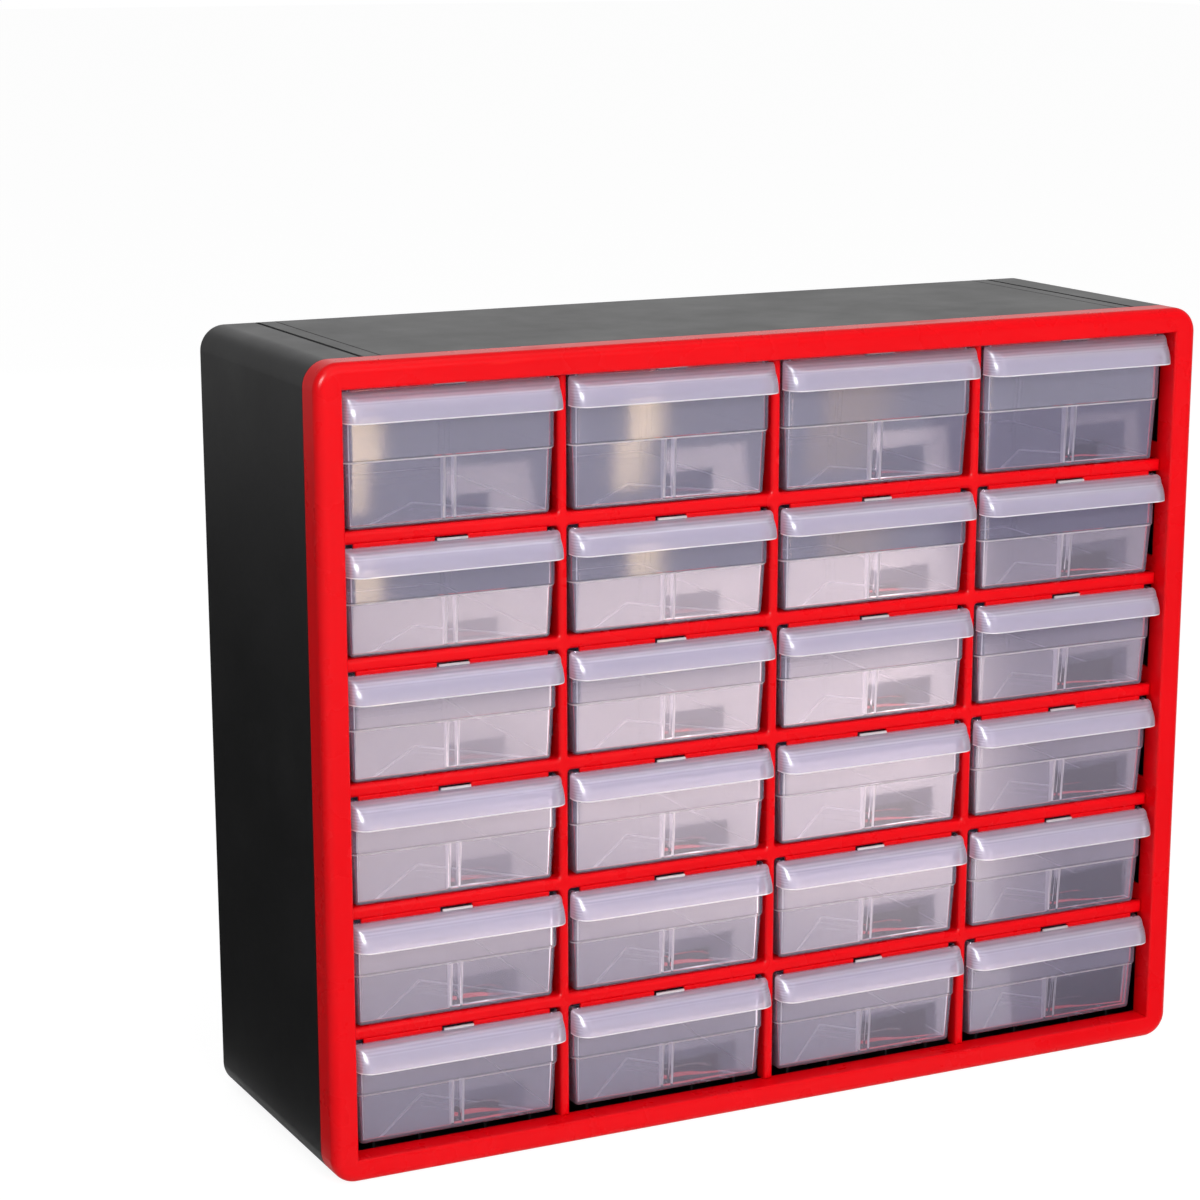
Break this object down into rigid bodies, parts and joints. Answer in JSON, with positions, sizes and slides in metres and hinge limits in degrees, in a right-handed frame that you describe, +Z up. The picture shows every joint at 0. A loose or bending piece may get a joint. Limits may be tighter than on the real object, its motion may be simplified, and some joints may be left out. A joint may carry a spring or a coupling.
{
  "type": "parts bin cabinet",
  "caption": "Countertop cabinet for small parts: black moulded shell, red grille frame, and a bank of clear sliding drawers with curved handle lips.",
  "frame": {"origin": "middle of the bounding box on the underside of the shell, where the cabinet stands", "axes": "+X to the right along the front as seen by the user, +Y from the drawer fronts to the back panel, +Z up"},
  "size_m": [0.498, 0.165, 0.406],
  "materials": {
    "shell_black": "satin moulded polystyrene",
    "frame_red": "glossy moulded polystyrene",
    "drawer_clear": "frosted clear polypropylene"
  },
  "bodies": {
    "cabinet": {"cabinet_shell": "shell_black", "front_frame": "frame_red"},
    "drawer_r1_c1": {"drawer_r1_c1": "drawer_clear"},
    "drawer_r1_c2": {"drawer_r1_c2": "drawer_clear"},
    "drawer_r1_c3": {"drawer_r1_c3": "drawer_clear"},
    "drawer_r1_c4": {"drawer_r1_c4": "drawer_clear"},
    "drawer_r2_c1": {"drawer_r2_c1": "drawer_clear"},
    "drawer_r2_c2": {"drawer_r2_c2": "drawer_clear"},
    "drawer_r2_c3": {"drawer_r2_c3": "drawer_clear"},
    "drawer_r2_c4": {"drawer_r2_c4": "drawer_clear"},
    "drawer_r3_c1": {"drawer_r3_c1": "drawer_clear"},
    "drawer_r3_c2": {"drawer_r3_c2": "drawer_clear"},
    "drawer_r3_c3": {"drawer_r3_c3": "drawer_clear"},
    "drawer_r3_c4": {"drawer_r3_c4": "drawer_clear"},
    "drawer_r4_c1": {"drawer_r4_c1": "drawer_clear"},
    "drawer_r4_c2": {"drawer_r4_c2": "drawer_clear"},
    "drawer_r4_c3": {"drawer_r4_c3": "drawer_clear"},
    "drawer_r4_c4": {"drawer_r4_c4": "drawer_clear"},
    "drawer_r5_c1": {"drawer_r5_c1": "drawer_clear"},
    "drawer_r5_c2": {"drawer_r5_c2": "drawer_clear"},
    "drawer_r5_c3": {"drawer_r5_c3": "drawer_clear"},
    "drawer_r5_c4": {"drawer_r5_c4": "drawer_clear"},
    "drawer_r6_c1": {"drawer_r6_c1": "drawer_clear"},
    "drawer_r6_c2": {"drawer_r6_c2": "drawer_clear"},
    "drawer_r6_c3": {"drawer_r6_c3": "drawer_clear"},
    "drawer_r6_c4": {"drawer_r6_c4": "drawer_clear"}
  },
  "joints": [
    {"name": "slide_r1_c1", "type": "slide", "parent": "cabinet", "child": "drawer_r1_c1", "axis": [0, -1, 0], "range_m": [0, 0.137]},
    {"name": "slide_r1_c2", "type": "slide", "parent": "cabinet", "child": "drawer_r1_c2", "axis": [0, -1, 0], "range_m": [0, 0.137]},
    {"name": "slide_r1_c3", "type": "slide", "parent": "cabinet", "child": "drawer_r1_c3", "axis": [0, -1, 0], "range_m": [0, 0.137]},
    {"name": "slide_r1_c4", "type": "slide", "parent": "cabinet", "child": "drawer_r1_c4", "axis": [0, -1, 0], "range_m": [0, 0.137]},
    {"name": "slide_r2_c1", "type": "slide", "parent": "cabinet", "child": "drawer_r2_c1", "axis": [0, -1, 0], "range_m": [0, 0.137]},
    {"name": "slide_r2_c2", "type": "slide", "parent": "cabinet", "child": "drawer_r2_c2", "axis": [0, -1, 0], "range_m": [0, 0.137]},
    {"name": "slide_r2_c3", "type": "slide", "parent": "cabinet", "child": "drawer_r2_c3", "axis": [0, -1, 0], "range_m": [0, 0.137]},
    {"name": "slide_r2_c4", "type": "slide", "parent": "cabinet", "child": "drawer_r2_c4", "axis": [0, -1, 0], "range_m": [0, 0.137]},
    {"name": "slide_r3_c1", "type": "slide", "parent": "cabinet", "child": "drawer_r3_c1", "axis": [0, -1, 0], "range_m": [0, 0.137]},
    {"name": "slide_r3_c2", "type": "slide", "parent": "cabinet", "child": "drawer_r3_c2", "axis": [0, -1, 0], "range_m": [0, 0.137]},
    {"name": "slide_r3_c3", "type": "slide", "parent": "cabinet", "child": "drawer_r3_c3", "axis": [0, -1, 0], "range_m": [0, 0.137]},
    {"name": "slide_r3_c4", "type": "slide", "parent": "cabinet", "child": "drawer_r3_c4", "axis": [0, -1, 0], "range_m": [0, 0.137]},
    {"name": "slide_r4_c1", "type": "slide", "parent": "cabinet", "child": "drawer_r4_c1", "axis": [0, -1, 0], "range_m": [0, 0.137]},
    {"name": "slide_r4_c2", "type": "slide", "parent": "cabinet", "child": "drawer_r4_c2", "axis": [0, -1, 0], "range_m": [0, 0.137]},
    {"name": "slide_r4_c3", "type": "slide", "parent": "cabinet", "child": "drawer_r4_c3", "axis": [0, -1, 0], "range_m": [0, 0.137]},
    {"name": "slide_r4_c4", "type": "slide", "parent": "cabinet", "child": "drawer_r4_c4", "axis": [0, -1, 0], "range_m": [0, 0.137]},
    {"name": "slide_r5_c1", "type": "slide", "parent": "cabinet", "child": "drawer_r5_c1", "axis": [0, -1, 0], "range_m": [0, 0.137]},
    {"name": "slide_r5_c2", "type": "slide", "parent": "cabinet", "child": "drawer_r5_c2", "axis": [0, -1, 0], "range_m": [0, 0.137]},
    {"name": "slide_r5_c3", "type": "slide", "parent": "cabinet", "child": "drawer_r5_c3", "axis": [0, -1, 0], "range_m": [0, 0.137]},
    {"name": "slide_r5_c4", "type": "slide", "parent": "cabinet", "child": "drawer_r5_c4", "axis": [0, -1, 0], "range_m": [0, 0.137]},
    {"name": "slide_r6_c1", "type": "slide", "parent": "cabinet", "child": "drawer_r6_c1", "axis": [0, -1, 0], "range_m": [0, 0.137]},
    {"name": "slide_r6_c2", "type": "slide", "parent": "cabinet", "child": "drawer_r6_c2", "axis": [0, -1, 0], "range_m": [0, 0.137]},
    {"name": "slide_r6_c3", "type": "slide", "parent": "cabinet", "child": "drawer_r6_c3", "axis": [0, -1, 0], "range_m": [0, 0.137]},
    {"name": "slide_r6_c4", "type": "slide", "parent": "cabinet", "child": "drawer_r6_c4", "axis": [0, -1, 0], "range_m": [0, 0.137]}
  ]
}
